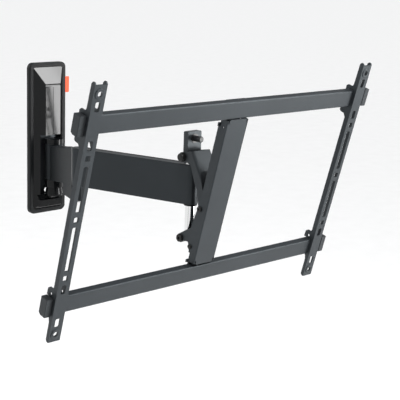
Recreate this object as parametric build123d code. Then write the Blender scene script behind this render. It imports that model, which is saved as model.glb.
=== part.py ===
from build123d import *
import os
from math import cos, radians, sin

# Full motion wall mount for a large flat screen, in millimetres.
# Origin: centre of the wall plate's back face. +X right, -Y out into the room, +Z up.

# ---------------------------------------------------------------- driving dimensions
SCREEN_HOLES_X = 600.0    # screen hole spacing, across
SCREEN_HOLES_Z = 400.0    # screen hole spacing, up
SCREEN_HOLE_R = 4.25      # clears an M8 screw
TILT = 15.0               # lean of the screen frame at rest, top forward, in degrees
GAP = 0.3                 # gap between pieces that move past each other
RUN = 0.05                # radial running clearance of a pin in its bore

HINGE_Y = -30.0           # wall hinge axis, on X = 0
LINK_LENGTH = 150.0       # wall hinge to elbow
LINK_HEADING = -108.7     # direction of the first link at rest, in degrees from +X
ARM_LENGTH = 240.0        # elbow to head
ARM_HEADING = -74.05      # direction of the main arm at rest
FOLDED_ANGLE = 20.0       # smallest angle between the link and the main arm

FRAME_Y = -479.9          # centre of the strips' front plane
FRAME_Z = -29.0
STRIP_CENTRE = -4.5       # the pair of strips hangs this far off the frame's centre line

# wall plate and covers
PLATE_W, PLATE_H, PLATE_T = 76.0, 286.0, 3.5
RIM_W, RIM_H, RIM_DEPTH, RIM_WALL, RIM_R = 85.0, 296.0, 10.0, 8.2, 11.0
WALL_SCREW_X, WALL_SCREW_Z, STUD_SCREW_Z, WALL_SCREW_R = 44.0, 236.0, 208.0, 4.25
COVER_EDGE_Y, COVER_W, COVER_H, COVER_R = -9.0, 68.0, 279.0, 5.0
COVER_SKIN = 2.4
RIDGE_TOP_Z, RIDGE_END_Z, RIDGE_Y, RIDGE_HALF = 108.0, 9.4, -27.0, 17.0
SEAM_Z = -25.0            # lower edge of the upper cover
CORNER = 0.4              # how far the inner form's corners move in, for each mm of skin
WINDOW_HALF, WINDOW_LOW_Z = 24.5, -109.0
CAP_HALF, CAP_Y, CAP_TOP_Z, CAP_LOW_Z = 28.0, -22.0, -117.5, -133.5

# hinges
BARREL_R, BARREL_TOP, BARREL_LOW = 17.0, -7.5, -77.0
KNUCKLE_R, KNUCKLE_CORE_R = 17.5, 14.2
KNUCKLE_TOP, KNUCKLE_LOW, SKIRT_LOW = 2.7, -92.3, -106.0
HINGE_GAP = 0.6           # between the barrel and each eye of the bracket
PIN_R, BUSH_R = 7.0, 10.0

# first link
LINK_T, LINK_LOW = 24.0, -87.0
LINK_NEAR_X, LINK_NEAR_TOP = 17.0, -9.9     # where the bar leaves the barrel
NOTCH_X, NOTCH_Z = 92.5, -66.6              # where the bar's rising underside meets the tongue
POCKET = (24.0, 84.0)                       # cable space inside the bar
TONGUE_TOP, TONGUE_R = -60.0, 10.0

# main arm
ARM_R, ARM_TOP, ARM_LOW = 12.5, 11.0, -58.5
ARM_WALL, ARM_ROOF = 3.0, 4.0

# head
TUBE_R, TUBE_BORE_R, TUBE_LOW, TUBE_TOP = 9.0, 6.6, -122.0, 14.8
TUBE_BORE_LOW = -103.0
PIVOT_BOSS_R, PIVOT_BOSS_LOW, PIVOT_BOSS_TOP = 12.0, -123.0, -110.0
PIVOT_HALF, PIVOT_R, PIVOT_EYE_R = 19.0, 5.0, 7.6
HEAD_BUSH_R = 10.9
SLIDER_W, SLIDER_T, SLIDER_LOW, SLIDER_TOP = 31.0, 11.0, 15.3, 68.0
KNOB_Z, KNOB_R, KNOB_LENGTH = 56.0, 5.2, 15.5

# tilting frame, in the frame's own axes: u across, v up the frame, w out of its front
COLUMN_HALF, COLUMN_T, COLUMN_FRONT, COLUMN_BACK = 24.0, 2.2, -4.5, -23.3
COLUMN_TOP, COLUMN_LOW, COLUMN_LIP = 132.6, -132.0, 1.5
RAIL_V = {1: 149.5, -1: -152.7}       # centres of the top and the bottom rail
RAIL_H, RAIL_D, RAIL_FRONT, RAIL_HALF = 30.0, 14.0, -6.0, 328.5
RAIL_WALL, END_CAP = 2.0, 11.5
JOINT_BOLTS_U, JOINT_T = (-15.0, 15.0), 2.6
JOINT_BACK = RAIL_FRONT - RAIL_D      # the rails' back, where the joint plates lie
JOINT_WING_V = {1: (118.0, 124.0), -1: (-135.0, -130.0)}
PIVOT_V, PIVOT_W = -102.9, -49.6      # tilt pivot
STRUT_V, STRUT_W = -33.6, -20.5       # strut's lower pivot
STRUT_TOP_Z = 25.0                    # strut's upper bolt, above the head's axis
STRUT_HALF, STRUT_T = 21.5, 2.5
STRIP_HALF_W, STRIP_T, STRIP_HALF_H, STRIP_DEPTH = 11.5, 2.3, 214.0, 9.5


# ---------------------------------------------------------------- places worked out from them
def along(point, heading, distance):
    """The point a distance away along a heading in the XY plane."""
    angle = radians(heading)
    return point[0] + distance * cos(angle), point[1] + distance * sin(angle)


HINGE = (0.0, HINGE_Y)
ELBOW = along(HINGE, LINK_HEADING, LINK_LENGTH)
HEAD = along(ELBOW, ARM_HEADING, ARM_LENGTH)
FRAME = Pos(HEAD[0], FRAME_Y, FRAME_Z) * Rot(TILT, 0, 0)


def frame_point(v, w):
    """Y and Z of a point of the tilted frame."""
    lean = radians(TILT)
    return FRAME_Y - v * sin(lean) - w * cos(lean), FRAME_Z + v * cos(lean) - w * sin(lean)


PIVOT = frame_point(PIVOT_V, PIVOT_W)
STRUT_LOW = frame_point(STRUT_V, STRUT_W)
STRUT_TOP = (HEAD[1], STRUT_TOP_Z)


# ---------------------------------------------------------------- simple shapes
def block(x0, x1, y0, y1, z0, z1):
    return Pos((x0 + x1) / 2, (y0 + y1) / 2, (z0 + z1) / 2) * Box(x1 - x0, y1 - y0, z1 - z0)


def rod_x(y, z, r, x0, x1):
    return Pos((x0 + x1) / 2, y, z) * Rot(0, 90, 0) * Cylinder(r, x1 - x0)


def rod_y(x, z, r, y0, y1):
    return Pos(x, (y0 + y1) / 2, z) * Rot(90, 0, 0) * Cylinder(r, y1 - y0)


def rod_z(x, y, r, z0, z1):
    return Pos(x, y, (z0 + z1) / 2) * Cylinder(r, z1 - z0)


def prism_z(points, z0, z1):
    """An outline of (x, y) points, extruded up from z0 to z1."""
    return Pos(0, 0, z0) * extrude(make_face(Polyline(*points, close=True)), z1 - z0)


def prism_x(points, x0, x1):
    """An outline of (y, z) points, extruded along X from x0 to x1."""
    outline = make_face(Polyline(*[(0, y, z) for y, z in points], close=True))
    return Pos(x0, 0, 0) * extrude(outline, x1 - x0, dir=(1, 0, 0))


def prism_y(points, half):
    """An outline of (x, z) points, extruded to both sides of Y = 0."""
    outline = make_face(Polyline(*[(x, 0, z) for x, z in points], close=True))
    return Pos(0, -half, 0) * extrude(outline, 2 * half, dir=(0, 1, 0))


def rounded_plate(width, height, radius, y0, y1):
    """An upright plate with round corners, its back at y0 and its front at y1."""
    sketch = Plane.XZ * RectangleRounded(width, height, radius)
    return Pos(0, y0, 0) * extrude(sketch, abs(y1 - y0), dir=(0, -1, 0))


def stadium(x0, x1, r, z0, z1):
    """An upright bar with round ends centred at x0 and x1."""
    middle = block(x0, x1, -r, r, z0, z1) if x1 > x0 else rod_z(x0, 0, r, z0, z1)
    return middle + rod_z(x0, 0, r, z0, z1) + rod_z(x1, 0, r, z0, z1)


def at_link(shape):
    """Places a shape drawn with the wall hinge at its origin and the elbow along +X."""
    return Pos(HINGE[0], HINGE[1], 0) * Rot(0, 0, LINK_HEADING) * shape


def at_arm(shape):
    """Places a shape drawn with the elbow at its origin and the head along +X."""
    return Pos(ELBOW[0], ELBOW[1], 0) * Rot(0, 0, ARM_HEADING) * shape


def at_head(shape):
    """Places a shape drawn on the head's centre line, with Y and Z as they are."""
    return Pos(HEAD[0], 0, 0) * shape


def frame_outline(points, u0, u1):
    """An outline of (v, w) points in the frame's side view, extruded from u0 to u1."""
    return prism_x([(-w, v) for v, w in points], u0, u1)


# ---------------------------------------------------------------- wall plate and covers
def wall_plate():
    plate = rounded_plate(PLATE_W, PLATE_H, 7.0, 0, -PLATE_T)
    for x in (-WALL_SCREW_X / 2, WALL_SCREW_X / 2):
        for z in (-WALL_SCREW_Z / 2, WALL_SCREW_Z / 2):
            plate -= rod_y(x, z, WALL_SCREW_R, -PLATE_T - 1, 1)
    for z in (-STUD_SCREW_Z / 2, STUD_SCREW_Z / 2):
        plate -= rod_y(0, z, WALL_SCREW_R, -PLATE_T - 1, 1)
    return plate


def cover_rim():
    rim = rounded_plate(RIM_W, RIM_H, RIM_R, 0, -RIM_DEPTH)
    front = rim.faces().sort_by(Axis.Y)[0]
    rim = fillet(front.edges(), 2.2)
    rim -= rounded_plate(RIM_W - 2 * RIM_WALL, RIM_H - 2 * RIM_WALL, COVER_R, 1, -RIM_DEPTH - 1)
    rim -= rounded_plate(PLATE_W + 0.4, PLATE_H + 0.4, 7.2, 1, -PLATE_T)
    return rim - orange_tab()


def cover_outline():
    """The covers' round-cornered outline, which fits inside the rim."""
    return rounded_plate(COVER_W, COVER_H, COVER_R, 0, -60)


def hip_roof(inset):
    """The cover's form: a flat band in front, with planar facets at its sides and top."""
    half, low, top = COVER_W / 2 - inset, -COVER_H / 2 + inset, COVER_H / 2 - inset
    edge, front = COVER_EDGE_Y + CORNER * inset, RIDGE_Y + inset
    band = RIDGE_HALF - CORNER * inset
    across = [(-half, -4), (-half, edge), (-band, front), (band, front), (half, edge), (half, -4)]
    side = [(-4, top), (edge, top), (front, RIDGE_TOP_Z - CORNER * inset), (front, low), (-4, low)]
    return prism_z(across, low, top) & prism_x(side, -half, half)


def cover_shell():
    shell = hip_roof(0) - hip_roof(COVER_SKIN)
    window = block(-WINDOW_HALF, WINDOW_HALF, -60, 0, WINDOW_LOW_Z, RIDGE_END_Z)
    return shell & cover_outline() - window


def upper_cover():
    shell = cover_shell() - block(-50, 50, -60, 0, -200, SEAM_Z)
    valley = Pos(0, RIDGE_Y, RIDGE_TOP_Z - 1.5) * Rot(-35, 0, 0) * Box(2 * RIDGE_HALF + 1, 3.2, 3.6)
    groove = block(-0.5, 0.5, RIDGE_Y - 1, RIDGE_Y + 0.8, RIDGE_END_Z - 1, RIDGE_TOP_Z - 6)
    closing = block(-20, 20, RIDGE_Y + 0.6, COVER_EDGE_Y, RIDGE_END_Z, RIDGE_END_Z + 2.0)
    return shell - valley - groove + (closing & hip_roof(0))


def lower_cover():
    """Side cheeks beside the hinge, joined below it by a sill that carries the bottom cap."""
    cheeks = cover_shell() & block(-50, 50, -60, 0, WINDOW_LOW_Z, SEAM_Z - 0.2)
    low = -COVER_H / 2
    side = [(-4, WINDOW_LOW_Z), (-14, WINDOW_LOW_Z), (CAP_Y + 5, CAP_TOP_Z), (CAP_Y + 5, CAP_LOW_Z + 3),
            (COVER_EDGE_Y, low), (-4, low)]
    half = COVER_W / 2
    across = [(-half, -4), (-half, COVER_EDGE_Y), (-CAP_HALF + 2, CAP_Y + 5), (CAP_HALF - 2, CAP_Y + 5),
              (half, COVER_EDGE_Y), (half, -4)]
    sill = prism_x(side, -half, half) & prism_z(across, low, WINDOW_LOW_Z)
    hollow = block(-half + 5, half - 5, -13, 0, low + 4, CAP_TOP_Z)
    return cheeks + (sill & cover_outline()) - hollow


def bottom_cap():
    """A glossy convex cap with sloping edges, clipped over the lower wall screws."""
    middle = (0, CAP_Y + 5.2, (CAP_TOP_Z + CAP_LOW_Z) / 2)
    back = Plane(origin=middle, x_dir=(1, 0, 0), z_dir=(0, -1, 0))
    cap = extrude(back * Rectangle(2 * CAP_HALF, CAP_TOP_Z - CAP_LOW_Z), 5.2, taper=24)
    seat = prism_z([(-CAP_HALF + 2, CAP_Y + 5), (CAP_HALF - 2, CAP_Y + 5), (60, -4), (-60, -4)], -150, -100)
    return cap - seat


def hinge_bracket():
    """Steel bracket on the wall plate, with an upper and a lower eye for the hinge pin."""
    bracket = block(-20, 20, -9, -PLATE_T, -97, 8.5)
    for low, high in ((BARREL_TOP + HINGE_GAP, KNUCKLE_TOP - 1.5), (KNUCKLE_LOW, BARREL_LOW - HINGE_GAP)):
        bracket += block(-10, 10, HINGE_Y, -9, low, high)
        bracket += rod_z(*HINGE, KNUCKLE_CORE_R, low, high)
    bracket -= rod_z(*HINGE, PIN_R, KNUCKLE_LOW - 1, KNUCKLE_TOP)
    clearance = BARREL_R + 2.2
    return bracket - rod_z(*HINGE, clearance, BARREL_LOW - HINGE_GAP, BARREL_TOP + HINGE_GAP)


def knuckle_cover(low, high, lid_z):
    """A glossy sleeve round one eye of the bracket, open at the back where the neck passes."""
    sleeve = rod_z(*HINGE, KNUCKLE_R, low, high) - rod_z(*HINGE, KNUCKLE_CORE_R, low - 1, high + 1)
    lid = rod_z(*HINGE, KNUCKLE_CORE_R, lid_z, lid_z + 1.5)
    neck = block(-10.2, 10.2, HINGE_Y, 0, low - 1, high + 1)
    return sleeve + lid - neck


def upper_knuckle_cover():
    return knuckle_cover(BARREL_TOP + HINGE_GAP, KNUCKLE_TOP, KNUCKLE_TOP - 1.5)


def lower_knuckle_cover():
    """The lower sleeve, with the flared skirt that runs down to the sill."""
    sleeve = rod_z(*HINGE, KNUCKLE_R, KNUCKLE_LOW, BARREL_LOW - HINGE_GAP)
    sleeve -= rod_z(*HINGE, KNUCKLE_CORE_R, KNUCKLE_LOW, BARREL_LOW)
    sleeve -= block(-10.2, 10.2, HINGE_Y, 0, KNUCKLE_LOW - 1, BARREL_LOW)
    middle = (KNUCKLE_LOW + SKIRT_LOW) / 2
    skirt = Pos(*HINGE, middle) * Cone(17.2, 14.6, KNUCKLE_LOW - SKIRT_LOW)
    skirt += rod_z(*HINGE, 16.0, SKIRT_LOW - 3.5, SKIRT_LOW)
    return sleeve + (skirt - block(-40, 40, -14.5, 0, -120, -80))


def hinge_pin():
    pin = rod_z(*HINGE, PIN_R, KNUCKLE_LOW, KNUCKLE_TOP - 1.5)
    return chamfer(pin.edges(), 0.6)


def orange_tab():
    """The end of a bright strap that sticks out behind the rim, plain, with no lettering."""
    tab = block(PLATE_W / 2 + 0.5, 52.5, -7.0, -5.2, 87.5, 118.5)
    return fillet(tab.edges().filter_by(Axis.Y).sort_by(Axis.X)[-2:], 1.5)


# ---------------------------------------------------------------- first link
def link_under(x):
    """Height of the bar's underside, which rises from the barrel to the notch."""
    return BARREL_LOW + (NOTCH_Z - BARREL_LOW) * (x - LINK_NEAR_X) / (NOTCH_X - LINK_NEAR_X)


def link_bar():
    """The tapering bar and the deep end that carries the tongue, with soft long edges."""
    half, end = LINK_T / 2, LINK_LENGTH
    outline = [(LINK_NEAR_X, LINK_NEAR_TOP), (end - 4, ARM_TOP), (end, ARM_TOP), (end, LINK_LOW),
               (NOTCH_X, LINK_LOW), (NOTCH_X, NOTCH_Z), (LINK_NEAR_X, BARREL_LOW)]
    bar = prism_y(outline, half)
    sloping = bar.edges().filter_by(Axis.Z, reverse=True).filter_by(Axis.Y, reverse=True)
    bar = fillet([edge for edge in sloping if edge.length > 60], 1.5)
    return bar + block(0, LINK_NEAR_X + 0.5, -half, half, BARREL_LOW, LINK_NEAR_TOP)


def first_link():
    """A hollow casting: barrel at the wall, tongue under the main arm at the elbow."""
    half = LINK_T / 2
    elbow_x = LINK_LENGTH
    link = link_bar() + rod_z(0, 0, BARREL_R, BARREL_LOW, BARREL_TOP)
    # above the tongue the end is hollowed to take the main arm's round end
    link -= rod_z(elbow_x, 0, ARM_R + 0.8, TONGUE_TOP, ARM_TOP + 1)
    link -= block(elbow_x, elbow_x + 20, -half - 1, half + 1, TONGUE_TOP, ARM_TOP + 1)
    # the inner side is cut back so that the main arm can fold against it
    slope = sin(radians(FOLDED_ANGLE)) / cos(radians(FOLDED_ANGLE))
    reach = (ARM_R + 0.9) / cos(radians(FOLDED_ANGLE))
    near, far = 4.0, (half + reach) / slope
    fold = [(elbow_x - near, slope * near - reach), (elbow_x - far, half), (elbow_x - far, 60),
            (elbow_x + 40, 60), (elbow_x + 40, slope * near - reach)]
    link -= prism_z(fold, TONGUE_TOP, ARM_TOP + 1)
    # tongue end
    link -= block(elbow_x - 3, elbow_x + 1, -half - 1, half + 1, LINK_LOW - 1, TONGUE_TOP)
    link += stadium(elbow_x - 12, elbow_x, TONGUE_R, LINK_LOW, TONGUE_TOP)
    # cable space, closed below by the cable cover
    link -= block(*POCKET, -half + 3, half - 3, LINK_LOW - 1, LINK_NEAR_TOP - 3)
    link -= rod_z(0, 0, BUSH_R, BARREL_LOW - 1, BARREL_TOP + 1)
    link -= rod_z(elbow_x, 0, PIN_R, LINK_LOW - 1, TONGUE_TOP + 1)
    return at_link(link)


def link_cable_cover():
    half = LINK_T / 2 - 3.2
    x0, x1 = POCKET[0] + 0.2, POCKET[1] - 0.2
    skin = 2.0
    cover = prism_y([(x0, link_under(x0)), (x1, link_under(x1)), (x1, link_under(x1) + skin),
                     (x0, link_under(x0) + skin)], half)
    for x in (x0 + 10, x1 - 10):
        cover += block(x - 3, x + 3, -half, half, link_under(x) + 1, link_under(x) + 8)
    return at_link(cover)


def wall_bushes():
    """Two flanged bushes in the barrel, which ride between the eyes of the bracket."""
    bushes = []
    for low, high, flange in ((BARREL_LOW, BARREL_LOW + 18, -1), (BARREL_TOP - 18, BARREL_TOP, 1)):
        bush = rod_z(*HINGE, BUSH_R, low, high)
        face = low if flange < 0 else high
        bush += rod_z(*HINGE, 12.5, min(face, face + flange * 0.3), max(face, face + flange * 0.3))
        bushes.append(bush - rod_z(*HINGE, PIN_R + RUN, low - 2, high + 2))
    return Compound(bushes)


def elbow_pin():
    pin = rod_z(*ELBOW, PIN_R, LINK_LOW, ARM_TOP - ARM_ROOF - 2)
    pin = chamfer(pin.edges(), 0.6)
    return pin + rod_z(*ELBOW, 9.0, LINK_LOW - 2.4, LINK_LOW)


def elbow_washer():
    return rod_z(*ELBOW, TONGUE_R, TONGUE_TOP, ARM_LOW - GAP) - rod_z(*ELBOW, PIN_R, -100, 0)


# ---------------------------------------------------------------- main arm
def main_arm():
    """A channel closed on top, with a solid round boss at each end."""
    arm = stadium(0, ARM_LENGTH, ARM_R, ARM_LOW, ARM_TOP)
    arm = fillet(arm.faces().sort_by(Axis.Z)[-1].edges(), 1.5)
    inside = ARM_R - ARM_WALL
    arm -= block(16, ARM_LENGTH - 16, -inside, inside, ARM_LOW - 1, ARM_TOP - ARM_ROOF)
    arm -= rod_z(0, 0, BUSH_R, ARM_LOW - 1, ARM_TOP - ARM_ROOF)
    arm -= rod_z(ARM_LENGTH, 0, HEAD_BUSH_R, ARM_LOW - 1, ARM_TOP + 1)
    return at_arm(arm - block(18, ARM_LENGTH - 18, 2.5, 9.5, ARM_TOP - 1.2, ARM_TOP + 1))


def arm_top_strip():
    """A plain plastic strip let into the arm's top face."""
    return at_arm(block(18.2, ARM_LENGTH - 18.2, 2.7, 9.3, ARM_TOP - 1.2, ARM_TOP - 0.2))


def arm_cable_cover():
    half = ARM_R - ARM_WALL - 0.2
    cover = block(16.2, ARM_LENGTH - 16.2, -half, half, ARM_LOW, ARM_LOW + 2)
    for x in (50, 120, 190):
        cover += block(x - 4, x + 4, -half, half, ARM_LOW + 2, ARM_LOW + 9)
    return at_arm(cover)


def sleeve_pair(centre, outer, inner, low, high, length):
    """Two plain bushes, one at each end of a bore."""
    pair = []
    for z0, z1 in ((low, low + length), (high - length, high)):
        pair.append(rod_z(*centre, outer, z0, z1) - rod_z(*centre, inner, z0 - 1, z1 + 1))
    return Compound(pair)


def elbow_bushes():
    return sleeve_pair(ELBOW, BUSH_R, PIN_R + RUN, ARM_LOW, ARM_TOP - ARM_ROOF - 2, 20)


def head_bushes():
    return sleeve_pair(HEAD, HEAD_BUSH_R, TUBE_R + RUN, ARM_LOW, ARM_TOP, 20)


# ---------------------------------------------------------------- swivel head
def swivel_tube():
    tube = rod_z(*HEAD, TUBE_R, TUBE_LOW, TUBE_TOP) - rod_z(*HEAD, TUBE_BORE_R, TUBE_BORE_LOW, TUBE_TOP + 1)
    return tube - at_head(rod_x(*PIVOT, PIVOT_R + RUN, -20, 20))


def head_ring(low, high, outer):
    ring = rod_z(*HEAD, outer, low, high) - rod_z(*HEAD, TUBE_R, low - 1, high + 1)
    return chamfer(ring.edges().filter_by(GeomType.CIRCLE).sort_by(SortBy.RADIUS)[-2:], 0.4)


def head_washer():
    return head_ring(ARM_TOP + GAP, TUBE_TOP, 12.0)


def head_collar():
    return head_ring(ARM_LOW - 2.8, ARM_LOW - GAP, 11.6)


def pivot_block():
    """The boss round the tube's lower end, with the cross eye of the tilt pivot."""
    boss = at_head(rod_x(*PIVOT, PIVOT_EYE_R, -PIVOT_HALF, PIVOT_HALF))
    boss += rod_z(*HEAD, PIVOT_BOSS_R, PIVOT_BOSS_LOW, PIVOT_BOSS_TOP)
    boss -= rod_z(*HEAD, TUBE_R, TUBE_LOW, PIVOT_BOSS_TOP + 10)
    return boss - at_head(rod_x(*PIVOT, PIVOT_R + RUN, -PIVOT_HALF - 1, PIVOT_HALF + 1))


# ---------------------------------------------------------------- tilt slider and knob
def slider_bar():
    y = HEAD[1]
    bar = block(-SLIDER_W / 2, SLIDER_W / 2, y - SLIDER_T / 2, y + SLIDER_T / 2, SLIDER_LOW, SLIDER_TOP)
    bar = chamfer(bar.edges().filter_by(Axis.Y).sort_by(Axis.Z)[-2:], 1.5)
    bar -= rod_x(*STRUT_TOP, 4, -20, 20)
    return at_head(bar - rod_y(0, KNOB_Z, 3 + RUN, y - 20, y + 20))


def slider_rod():
    """The rod under the bar, which slides in the bore of the tube."""
    return rod_z(*HEAD, TUBE_BORE_R - RUN, -45, SLIDER_LOW)


def strut_upper_bolt():
    """Bolt through the strut's ears and the slider bar, with a round nut on the left."""
    y, z = STRUT_TOP
    bolt = rod_x(y, z, 4, -27, 27)
    clear = STRUT_HALF + GAP
    for side in (-1, 1):
        ends = sorted((side * clear, side * (clear + 1.5)))
        bolt += rod_x(y, z, 8.5, *ends)
    nut = rod_x(y, z, 7.0, -clear - 7.5, -clear - 1.5)
    nut = fillet(nut.edges().sort_by(Axis.X)[0], 3.0)
    head = rod_x(y, z, 6.5, clear + 1.5, clear + 7)
    return at_head(bolt + nut + chamfer(head.edges().sort_by(Axis.X)[-1], 0.8))


def strut_spacers():
    y, z = STRUT_TOP
    inner = STRUT_HALF - STRUT_T - GAP
    rings = []
    for ends in ((-inner, -SLIDER_W / 2), (SLIDER_W / 2, inner)):
        rings.append(at_head(rod_x(y, z, 7, *ends) - rod_x(y, z, 4, ends[0] - 1, ends[1] + 1)))
    return Compound(rings)


def tilt_knob():
    """A fluted thumb knob with its screw through the slider bar."""
    front = HEAD[1] - SLIDER_T / 2 - 1.5
    knob = rod_y(0, KNOB_Z, KNOB_R, front - KNOB_LENGTH, front)
    knob = fillet(knob.edges().sort_by(Axis.Y)[0], 1.2)
    for i in range(10):
        angle = radians(36 * i)
        x, z = (KNOB_R + 0.6) * cos(angle), KNOB_Z + (KNOB_R + 0.6) * sin(angle)
        knob -= rod_y(x, z, 1.1, front - KNOB_LENGTH - 1, front - 3)
    screw = rod_y(0, KNOB_Z, 3, front, HEAD[1] + SLIDER_T / 2 + 3)
    return at_head(knob + screw)


def knob_washer():
    face = HEAD[1] - SLIDER_T / 2
    ring = rod_y(0, KNOB_Z, 8, face - 1.2, face) - rod_y(0, KNOB_Z, 3 + 3 * RUN, face - 5, face + 5)
    return at_head(ring)


# ---------------------------------------------------------------- strut
def strut():
    """A folded channel: web in front, two ears at the top, pivot eyes at the bottom."""
    top_y, top_z = STRUT_TOP
    low_y, low_z = STRUT_LOW
    side = [(-426.9, 38), (-415.5, 36), (-411.4, 27), (-410.0, 19), (-423.3, 13), (-429.1, -3),
            (-433.4, -14), (-439.9, -25), (low_y + 6.9, low_z + 4.0), (low_y, low_z - 2), (low_y - 8, low_z),
            (-454.4, -24), (-449.9, -10), (-444.9, 6)]
    full = prism_x(side, -STRUT_HALF, STRUT_HALF)
    bends = full.edges().filter_by_position(Axis.Z, 21.9, 22.1).filter_by_position(Axis.Y, -436, -435.8)
    full = fillet(bends, 5.0)
    full += rod_x(top_y, top_z, 8.5, -STRUT_HALF, STRUT_HALF)
    full += prism_x([(-415.5, 36), (top_y, top_z + 8.5), (top_y, top_z - 8.5), (-410, 15)], -STRUT_HALF, STRUT_HALF)
    full += rod_x(low_y, low_z, 8, -STRUT_HALF, STRUT_HALF)
    front = [(-426.9, 38), (-444.9, 6), (-449.9, -10), (-453.9, -22.4), (-451.5, -23.2), (-447.5, -10.8),
             (-442.6, 5.3), (-424.4, 37.7)]
    web = prism_x(front, -STRUT_HALF, STRUT_HALF) & full
    inside = STRUT_HALF - STRUT_T
    body = full - block(-inside, inside, -500, -380, -100, 80) + web
    slot = rod_x(top_y, top_z + 1.6, 4 + GAP, -40, 40) + rod_x(top_y, top_z - 1.6, 4 + GAP, -40, 40)
    slot += block(-40, 40, top_y - 4 - GAP, top_y + 4 + GAP, top_z - 1.6, top_z + 1.6)
    return at_head(body - slot - rod_x(low_y, low_z, 4 + RUN, -40, 40))


# ---------------------------------------------------------------- tilting frame
def rounded_flange(u0, u1):
    """One side of the column, with the ear that reaches back to the tilt pivot."""
    back = COLUMN_BACK
    outline = [(COLUMN_TOP, COLUMN_FRONT), (COLUMN_TOP, JOINT_BACK + 0.2), (117, JOINT_BACK + 0.2), (117, back), (-20, back),
               (-27.5, -26), (-37, -26), (-74, -30.6), (-79, -36.5), (-98.5, -56.2), (-109.5, -53), (-101.8, -35.1),
               (-101, -30), (-105, -27.4), (-111, -26), (-114, back), (-117, back), (-117, JOINT_BACK + 0.2),
               (COLUMN_LOW, JOINT_BACK + 0.2), (COLUMN_LOW, COLUMN_FRONT)]
    flange = frame_outline(outline, u0, u1)
    flange += rod_x(-PIVOT_W, PIVOT_V, 7.8, u0, u1)
    flange -= rod_x(-PIVOT_W, PIVOT_V, PIVOT_R, u0 - 1, u1 + 1)
    flange -= rod_x(-STRUT_W, STRUT_V, 4, u0 - 1, u1 + 1)
    flange -= rod_x(12.2, 119, 1.5, u0 - 1, u1 + 1)
    return flange - rod_x(23.0, -106.5, 2.5, u0 - 1, u1 + 1)


def column():
    """The folded channel between the two rails."""
    half, skin = COLUMN_HALF, COLUMN_T
    sheet = block(-half, half, -COLUMN_FRONT, -COLUMN_FRONT + skin, COLUMN_LOW, COLUMN_TOP)
    sheet += rounded_flange(-half, -half + skin) + rounded_flange(half - skin, half)
    corners = sheet.edges().filter_by(Axis.Z).filter_by_position(Axis.Y, -COLUMN_FRONT - 0.1, -COLUMN_FRONT + 0.1)
    sheet = fillet(corners, 1.8)
    for side in (-1, 1):
        for v in (COLUMN_TOP, COLUMN_LOW):
            u = side * (half - 3.2)
            sheet -= block(u - 1.2, u + 1.2, 2, 10, v - 6, v + 6)
    for v, reach in ((COLUMN_TOP, COLUMN_LIP), (COLUMN_LOW, -COLUMN_LIP)):
        lip = sorted((v, v + reach))
        sheet += block(-half + 6, half - 6, -COLUMN_FRONT, -COLUMN_FRONT + skin, *lip)
    return FRAME * sheet


def rail(side):
    v = RAIL_V[side]
    half = RAIL_HALF - 1.5
    outer = block(-half, half, -RAIL_FRONT, -RAIL_FRONT + RAIL_D, v - RAIL_H / 2, v + RAIL_H / 2)
    outer = fillet(outer.edges().filter_by(Axis.X), 2.0)
    inner = block(-half - 1, half + 1, -RAIL_FRONT + RAIL_WALL, -RAIL_FRONT + RAIL_D - RAIL_WALL,
                  v - RAIL_H / 2 + RAIL_WALL, v + RAIL_H / 2 - RAIL_WALL)
    return FRAME * (outer - inner)


def end_cap(side_u, side_v):
    """A plastic cap that plugs the rail and wraps its end, with a sloping back corner."""
    v = RAIL_V[side_v]
    skin = 0.9
    u0, u1 = sorted((side_u * RAIL_HALF, side_u * (RAIL_HALF - END_CAP)))
    y0, y1 = -RAIL_FRONT - skin, -RAIL_FRONT + RAIL_D + skin
    z0, z1 = v - RAIL_H / 2 - skin, v + RAIL_H / 2 + skin
    side = [(y0, z0), (y1 - 5, z0), (y1, z0 + 3), (y1, z1), (y0, z1)]
    cap = prism_x(side, u0, u1)
    end = cap.faces().sort_by(Axis.X)[-1 if side_u > 0 else 0]
    cap = fillet(end.edges(), 1.2)
    face = side_u * (RAIL_HALF - 1.5)
    well = sorted((face, side_u * (RAIL_HALF - END_CAP - 1)))
    cap -= block(*well, -RAIL_FRONT, -RAIL_FRONT + RAIL_D, v - RAIL_H / 2, v + RAIL_H / 2)
    plug = sorted((face, side_u * (RAIL_HALF - END_CAP - 6)))
    wall = RAIL_WALL + 0.1
    cap += block(*plug, -RAIL_FRONT + wall, -RAIL_FRONT + RAIL_D - wall, v - RAIL_H / 2 + wall, v + RAIL_H / 2 - wall)
    return FRAME * cap


def joint_plate(side):
    """The plate that ties the column's end to the back of a rail."""
    v0, v1 = sorted((side * 117.2, side * 163.0))
    back = -JOINT_BACK
    plate = block(-21, 21, back, back + JOINT_T, v0, v1)
    plate += block(-27, 27, back, back + JOINT_T, *JOINT_WING_V[side])
    for u in JOINT_BOLTS_U:
        plate -= rod_y(u, RAIL_V[side], 3, back - 1, back + JOINT_T + 1)
    return FRAME * plate


def joint_bolts():
    """Four button-head bolts, two through each joint plate."""
    bolts = []
    face = -JOINT_BACK + JOINT_T
    for side in (-1, 1):
        for u in JOINT_BOLTS_U:
            head = rod_y(u, RAIL_V[side], 5.5, face, face + 3)
            head = fillet(head.edges().sort_by(Axis.Y)[-1], 1.6)
            head -= rod_y(u, RAIL_V[side], 1.8, face + 1.4, face + 4)
            bolts.append(FRAME * (head + rod_y(u, RAIL_V[side], 3, face - JOINT_T, face)))
    return Compound(bolts)


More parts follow.
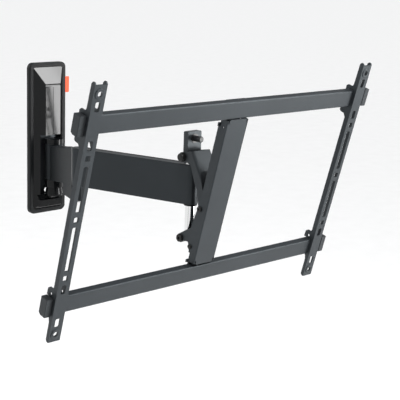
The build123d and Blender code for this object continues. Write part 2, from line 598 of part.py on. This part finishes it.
def cross_bolt(v, w, radius, head_r, head_h, nut_h):
    """A bolt across the column: head on the left flange, nut on the right one."""
    half = COLUMN_HALF
    shank = rod_x(-w, v, radius, -half, half)
    head = rod_x(-w, v, head_r, -half - head_h, -half)
    head = fillet(head.edges().sort_by(Axis.X)[0], min(head_h, head_r) * 0.35)
    head -= rod_x(-w, v, head_r * 0.38, -half - head_h - 1, -half - head_h * 0.45)
    nut = Pos(half, -w, v) * Rot(0, 90, 0) * extrude(RegularPolygon(head_r, 6), nut_h)
    return FRAME * (shank + head + nut)


def tilt_pivot_bolt():
    return cross_bolt(PIVOT_V, PIVOT_W, PIVOT_R, 6.8, 4.0, 6.0)


def strut_lower_bolt():
    return cross_bolt(STRUT_V, STRUT_W, 4.0, 4.8, 3.0, 4.0)


def tilt_washers():
    rings = []
    near, far = PIVOT_HALF + GAP, COLUMN_HALF - COLUMN_T
    for u0, u1 in ((-far, -near), (near, far)):
        ring = rod_x(-PIVOT_W, PIVOT_V, PIVOT_EYE_R, u0, u1)
        rings.append(FRAME * (ring - rod_x(-PIVOT_W, PIVOT_V, PIVOT_R, u0 - 1, u1 + 1)))
    return Compound(rings)


def flange_screws():
    """A small button-head screw low on each side of the column."""
    screws = []
    for side in (-1, 1):
        u0, u1 = sorted((side * COLUMN_HALF, side * (COLUMN_HALF + 2.6)))
        head = rod_x(23.0, -106.5, 4.1, u0, u1)
        head = fillet(head.edges().sort_by(Axis.X)[-1 if side > 0 else 0], 1.3)
        shank = rod_x(23.0, -106.5, 2.5, *sorted((side * COLUMN_HALF, side * (COLUMN_HALF - COLUMN_T - 1.5))))
        screws.append(FRAME * (head + shank))
    return Compound(screws)


# ---------------------------------------------------------------- strips
def strip_side_outline():
    """Side view of a strip: front, hooks round the top rail, ear and lip at the bottom rail."""
    notch = RAIL_FRONT + GAP
    hook = RAIL_FRONT - RAIL_D - GAP
    back = -STRIP_DEPTH
    reach = RAIL_H / 2 + GAP
    over, under = RAIL_V[1] + reach, RAIL_V[1] - reach
    low_over, low_under = RAIL_V[-1] - reach, RAIL_V[-1] + reach
    return [(STRIP_HALF_H, 0), (STRIP_HALF_H + 3.4, -2.2), (STRIP_HALF_H + 3.4, -6), (STRIP_HALF_H, -8.6),
            (176, back), (172.6, -11), (171.6, -13.5), (171.6, -21), (168.5, -24.4), (156, -24.4), (156, hook),
            (over, hook), (over, notch), (under, notch), (under, -24.4), (122, -24.4), (119.6, -21.5),
            (119.2, -14), (113, back), (-118, back), (-121.6, -11), (-122.4, -19), (-126, -23),
            (low_under, -23.6), (low_under, notch), (low_over, notch), (low_over, -14), (-172.5, -9),
            (-179, -6.8), (-STRIP_HALF_H + 3, -6.8), (-STRIP_HALF_H, -4), (-STRIP_HALF_H, 0)]


def strip(side):
    """A folded upright with the screen holes, hung on the two rails."""
    half, skin = STRIP_HALF_W, STRIP_T
    body = block(-half, half, 0, skin, -STRIP_HALF_H, STRIP_HALF_H)
    for u0, u1 in ((-half, -half + skin), (half - skin, half)):
        body += frame_outline(strip_side_outline(), u0, u1)
    body -= rod_x(14, -132, 2.6, -half - 1, half + 1)
    for v in (-SCREEN_HOLES_Z / 2, SCREEN_HOLES_Z / 2):
        pad = rod_y(0, v, 8.6, -1.2, 0)
        body += fillet(pad.edges().sort_by(Axis.Y)[0], 0.9)
        body -= rod_y(0, v, SCREEN_HOLE_R, -3, skin + 1)
    for v, length in ((180, 15.5), (120, 15.5), (50, 75), (-50, 75), (-120, 15.5), (-180, 15.5)):
        opening = Plane.XZ * (Pos(0, v) * RectangleRounded(8.6, length, 2.4))
        body -= Pos(0, -2, 0) * extrude(opening, 8, dir=(0, 1, 0))
    for v in (-100, 0, 100):
        opening = Plane.XZ * (Pos(0, v) * RectangleRounded(9, 9, 1.6))
        body -= Pos(0, -2, 0) * extrude(opening, 8, dir=(0, 1, 0))
    return FRAME * Pos(STRIP_CENTRE + side * SCREEN_HOLES_X / 2, 0, 0) * body


# ---------------------------------------------------------------- all the nodes
NODES = {
    "wall_plate": wall_plate,
    "cover_rim": cover_rim,
    "upper_cover": upper_cover,
    "lower_cover": lower_cover,
    "bottom_cap": bottom_cap,
    "hinge_bracket": hinge_bracket,
    "upper_knuckle_cover": upper_knuckle_cover,
    "lower_knuckle_cover": lower_knuckle_cover,
    "hinge_pin": hinge_pin,
    "orange_tab": orange_tab,
    "first_link": first_link,
    "link_cable_cover": link_cable_cover,
    "wall_bushes": wall_bushes,
    "elbow_pin": elbow_pin,
    "elbow_washer": elbow_washer,
    "main_arm": main_arm,
    "arm_top_strip": arm_top_strip,
    "arm_cable_cover": arm_cable_cover,
    "elbow_bushes": elbow_bushes,
    "head_bushes": head_bushes,
    "swivel_tube": swivel_tube,
    "head_washer": head_washer,
    "head_collar": head_collar,
    "pivot_block": pivot_block,
    "slider_bar": slider_bar,
    "slider_rod": slider_rod,
    "strut_upper_bolt": strut_upper_bolt,
    "strut_spacers": strut_spacers,
    "knob_washer": knob_washer,
    "tilt_knob": tilt_knob,
    "strut": strut,
    "column": column,
    "tilt_pivot_bolt": tilt_pivot_bolt,
    "strut_lower_bolt": strut_lower_bolt,
    "tilt_washers": tilt_washers,
    "flange_screws": flange_screws,
    "joint_bolts": joint_bolts,
    "top_rail": lambda: rail(1),
    "bottom_rail": lambda: rail(-1),
    "top_joint_plate": lambda: joint_plate(1),
    "bottom_joint_plate": lambda: joint_plate(-1),
    "top_left_end_cap": lambda: end_cap(-1, 1),
    "top_right_end_cap": lambda: end_cap(1, 1),
    "bottom_left_end_cap": lambda: end_cap(-1, -1),
    "bottom_right_end_cap": lambda: end_cap(1, -1),
    "left_strip": lambda: strip(-1),
    "right_strip": lambda: strip(1),
}

os.makedirs("parts", exist_ok=True)
for name, make in NODES.items():
    export_step(make(), f"parts/{name}.step")
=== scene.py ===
import math

import bmesh
import bpy
from mathutils import Matrix, Vector


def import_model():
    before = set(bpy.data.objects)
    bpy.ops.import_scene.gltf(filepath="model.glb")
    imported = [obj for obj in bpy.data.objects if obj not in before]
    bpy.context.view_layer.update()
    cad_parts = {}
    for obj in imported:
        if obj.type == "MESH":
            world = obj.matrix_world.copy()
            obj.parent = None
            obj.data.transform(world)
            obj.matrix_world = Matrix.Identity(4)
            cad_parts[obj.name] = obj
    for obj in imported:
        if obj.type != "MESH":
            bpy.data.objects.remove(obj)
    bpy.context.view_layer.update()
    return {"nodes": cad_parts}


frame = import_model()

# A full motion screen mount. The CAD nodes keep their shapes; this file gives them finishes and light.
CAMERA_PLACE = Vector((-1.2347, -1.7245, 0.3604))
CAMERA_LOOK = Vector((0.6653, 0.7087, -0.2348))
CAMERA_ROLL = 1.867       # degrees, the view leans clockwise
CAMERA_LENS = 97.41       # mm
CAMERA_SENSOR = 36        # mm
CAMERA_SHIFT = 0.0375
CAMERA_REACH = 200        # metres, past the far edge of the floor

FLOOR_Z = -1.25
FLOOR_HALF = 60           # metres
HORIZON, OVERHEAD = 0.86, 0.24            # strength of the sky's light
HORIZON_RISE, OVERHEAD_RISE = 0.08, 0.40  # how high each of them lies, as a direction's Z

FINE = 2200.0             # noise scale of a fine powder coat, per metre
BROAD = 9.0               # slow variation over a whole piece
GRAIN_HEIGHT = 0.0002     # metres
PATTERN_LOW, PATTERN_HIGH = 0.3, 0.7      # most of a noise pattern lies between these
WHITE = (1.0, 1.0, 1.0)
COOL = (0.84, 0.94, 1.0)  # the frame's coat has a cool sheen


# ---------------------------------------------------------------- materials
def noise(nodes, links, scale, detail):
    """A noise pattern fixed to the object."""
    place = nodes.new("ShaderNodeTexCoord")
    texture = nodes.new("ShaderNodeTexNoise")
    texture.inputs["Scale"].default_value = scale
    texture.inputs["Detail"].default_value = detail
    links.new(place.outputs["Object"], texture.inputs["Vector"])
    return texture.outputs["Fac"]


def ranged(nodes, links, value, low, high):
    """Maps a pattern's middle range to the range from low to high."""
    spread = nodes.new("ShaderNodeMapRange")
    spread.inputs["From Min"].default_value = PATTERN_LOW
    spread.inputs["From Max"].default_value = PATTERN_HIGH
    spread.inputs["To Min"].default_value = low
    spread.inputs["To Max"].default_value = high
    links.new(value, spread.inputs["Value"])
    return spread.outputs["Result"]


def blended(nodes, links, value, dark, light):
    """A colour that drifts between two tones with a pattern."""
    ramp = nodes.new("ShaderNodeValToRGB")
    first, last = ramp.color_ramp.elements
    first.position, last.position = PATTERN_LOW, PATTERN_HIGH
    first.color = (*dark, 1)
    last.color = (*light, 1)
    links.new(value, ramp.inputs["Fac"])
    return ramp.outputs["Color"]


def bumped(nodes, links, shader, height, strength):
    """Turns a pattern into fine relief."""
    bump = nodes.new("ShaderNodeBump")
    bump.inputs["Strength"].default_value = strength
    bump.inputs["Distance"].default_value = GRAIN_HEIGHT
    links.new(height, bump.inputs["Height"])
    links.new(bump.outputs["Normal"], shader.inputs["Normal"])


def finish_of(name, dark, light, rough, grain, relief, metallic=0.0, specular=0.5, tint=WHITE):
    """A finish with a fine grain in its relief and gloss, and slow drifts of tone."""
    material = bpy.data.materials.new(name)
    material.use_nodes = True
    nodes, links = material.node_tree.nodes, material.node_tree.links
    shader = nodes["Principled BSDF"]
    fine = noise(nodes, links, grain, 3.0)
    broad = noise(nodes, links, BROAD, 4.0)
    links.new(blended(nodes, links, broad, dark, light), shader.inputs["Base Color"])
    links.new(ranged(nodes, links, fine, *rough), shader.inputs["Roughness"])
    shader.inputs["Metallic"].default_value = metallic
    shader.inputs["Specular IOR Level"].default_value = specular
    shader.inputs["Specular Tint"].default_value = (*tint, 1)
    bumped(nodes, links, shader, fine, relief)
    return material


def grey(value, blue=0.0):
    """A grey that may lean to blue."""
    return value * (1 - blue), value, value * (1 + blue)


FINISHES = {
    "powder_coat": finish_of(
        "powder_coat_finish", grey(0.015, 0.13), grey(0.022, 0.13), (0.36, 0.50), FINE, 0.22,
        specular=0.40, tint=COOL),
    "black_casting": finish_of(
        "casting_finish", grey(0.010, 0.13), grey(0.015, 0.13), (0.34, 0.48), FINE, 0.25,
        specular=0.36, tint=COOL),
    "black_steel": finish_of(
        "steel_finish", grey(0.012, 0.10), grey(0.018, 0.10), (0.34, 0.48), FINE, 0.20,
        specular=0.40, tint=COOL),
    "gloss_black_plastic": finish_of(
        "gloss_finish", grey(0.0030, 0.10), grey(0.0045, 0.10), (0.05, 0.09), 500.0, 0.02, specular=0.22),
    "matte_black_plastic": finish_of(
        "matte_finish", grey(0.004, 0.10), grey(0.007, 0.10), (0.34, 0.50), 1500.0, 0.25, specular=0.16),
    "knob_plastic": finish_of(
        "knob_finish", grey(0.008, 0.10), grey(0.014, 0.10), (0.28, 0.42), 1500.0, 0.20, specular=0.40),
    "orange_plastic": finish_of(
        "orange_finish", (0.66, 0.060, 0.008), (0.74, 0.075, 0.011), (0.35, 0.50), 900.0, 0.15,
        specular=0.30),
    "chrome_tube": finish_of(
        "chrome_finish", grey(0.80), grey(0.86), (0.05, 0.10), 700.0, 0.01, metallic=1.0),
    "bright_steel": finish_of(
        "zinc_finish", grey(0.55), grey(0.68), (0.18, 0.32), 900.0, 0.08, metallic=1.0),
    "black_fastener": finish_of(
        "fastener_finish", grey(0.005), grey(0.009), (0.22, 0.36), 1400.0, 0.10, specular=0.30),
    "bearing_plastic": finish_of(
        "bearing_finish", grey(0.10), grey(0.14), (0.40, 0.55), 1200.0, 0.12),
}
CAP_FINISH = finish_of(
    "cap_finish", grey(0.016, 0.08), grey(0.024, 0.08), (0.34, 0.50), 1500.0, 0.25, specular=0.35, tint=COOL)
# The first link gets a darker copy of the casting finish: painted shade on the link, which is the same
# casting as the arm.
SHADED_LINK_FINISH = finish_of(
    "link_painted_shade_finish", grey(0.006, 0.13), grey(0.010, 0.13), (0.38, 0.52), FINE, 0.25, specular=0.24, tint=COOL)
OWN_FINISHES = {"first_link": SHADED_LINK_FINISH}
OWN_FINISHES.update((name, CAP_FINISH) for name in frame["nodes"] if name.endswith("end_cap"))


def dress_nodes():
    """Gives each CAD node its own finish, or else its slots the finish of the same name."""
    for name, piece in frame["nodes"].items():
        for slot in piece.material_slots:
            base = slot.material.name.split(".")[0] if slot.material else ""
            if name in OWN_FINISHES:
                slot.material = OWN_FINISHES[name]
            elif base in FINISHES:
                slot.material = FINISHES[base]


# ---------------------------------------------------------------- stage, light and camera
def floor():
    """A large pale floor, well below the mount."""
    mesh = bpy.data.meshes.new("floor")
    shape = bmesh.new()
    bmesh.ops.create_grid(shape, x_segments=8, y_segments=8, size=FLOOR_HALF)
    shape.to_mesh(mesh)
    shape.free()
    piece = bpy.data.objects.new("floor", mesh)
    piece.location.z = FLOOR_Z
    bpy.context.scene.collection.objects.link(piece)
    mesh.materials.append(finish_of("floor_finish", grey(0.93), grey(0.96), (0.85, 0.95), 6.0, 0.02))


def area_light(name, place, target, size, power):
    """A soft rectangular panel, aimed at a point, that doesn't show itself."""
    data = bpy.data.lights.new(name, "AREA")
    data.shape = "RECTANGLE"
    data.size, data.size_y = size
    data.energy = power
    lamp = bpy.data.objects.new(name, data)
    lamp.location = place
    aim = Vector(target) - Vector(place)
    lamp.rotation_euler = aim.to_track_quat("-Z", "Y").to_euler()
    lamp.visible_camera = False
    bpy.context.scene.collection.objects.link(lamp)


def sun(name, aim, strength, softness):
    """Even light over the floor and the object."""
    data = bpy.data.lights.new(name, "SUN")
    data.energy = strength
    data.angle = math.radians(softness)
    lamp = bpy.data.objects.new(name, data)
    lamp.rotation_euler = Vector(aim).to_track_quat("-Z", "Y").to_euler()
    bpy.context.scene.collection.objects.link(lamp)


def world():
    """A pale studio that is bright at the horizon and softer above."""
    sky = bpy.data.worlds.new("studio")
    sky.use_nodes = True
    nodes, links = sky.node_tree.nodes, sky.node_tree.links
    direction = nodes.new("ShaderNodeTexCoord")
    parts = nodes.new("ShaderNodeSeparateXYZ")
    fade = nodes.new("ShaderNodeMapRange")
    fade.interpolation_type = "SMOOTHSTEP"
    fade.inputs["From Min"].default_value = HORIZON_RISE
    fade.inputs["From Max"].default_value = OVERHEAD_RISE
    fade.inputs["To Min"].default_value = HORIZON
    fade.inputs["To Max"].default_value = OVERHEAD
    links.new(direction.outputs["Generated"], parts.inputs["Vector"])
    links.new(parts.outputs["Z"], fade.inputs["Value"])
    links.new(fade.outputs["Result"], nodes["Background"].inputs["Strength"])
    nodes["Background"].inputs["Color"].default_value = (0.97, 0.985, 1, 1)
    bpy.context.scene.world = sky


def lights():
    """Studio light: the floor's sun, panels for the frame, and two panels that the cover mirrors."""
    middle = (0.0, -0.35, 0.0)
    sun("overhead", (0.15, 0.35, -1.0), 2.4, 25)
    area_light("front_strip", (0.1, -1.5, 1.0), (0.0, -0.5, 0.15), (1.2, 0.5), 12)
    area_light("tall_panel", (1.45, -1.70, 0.90), (0, 0, 0), (0.60, 3.2), 36)
    area_light("cover_front_panel", (1.164, -1.657, -0.20), (0, -0.03, 0.06), (0.34, 0.60), 10)
    area_light("cover_top_panel", (1.17, -1.05, 1.52), (0, -0.02, 0.12), (0.50, 0.50), 14)
    area_light("back", (-1.4, 1.7, 1.2), middle, (1.4, 1.0), 20)


def camera():
    """The viewpoint, upright apart from a slight lean."""
    data = bpy.data.cameras.new("camera")
    data.lens = CAMERA_LENS
    data.sensor_width = CAMERA_SENSOR
    data.shift_x = data.shift_y = CAMERA_SHIFT
    data.clip_end = CAMERA_REACH
    look = CAMERA_LOOK.normalized()
    right = look.cross(Vector((0, 0, 1))).normalized()
    up = right.cross(look)
    turned = Matrix((right, up, -look)).transposed().to_4x4()
    lean = Matrix.Rotation(math.radians(CAMERA_ROLL), 4, "Z")
    viewer = bpy.data.objects.new("camera", data)
    viewer.matrix_world = Matrix.Translation(CAMERA_PLACE) @ turned @ lean
    bpy.context.scene.collection.objects.link(viewer)
    bpy.context.scene.camera = viewer


dress_nodes()
floor()
world()
lights()
camera()
bpy.context.scene.view_settings.view_transform = "Standard"
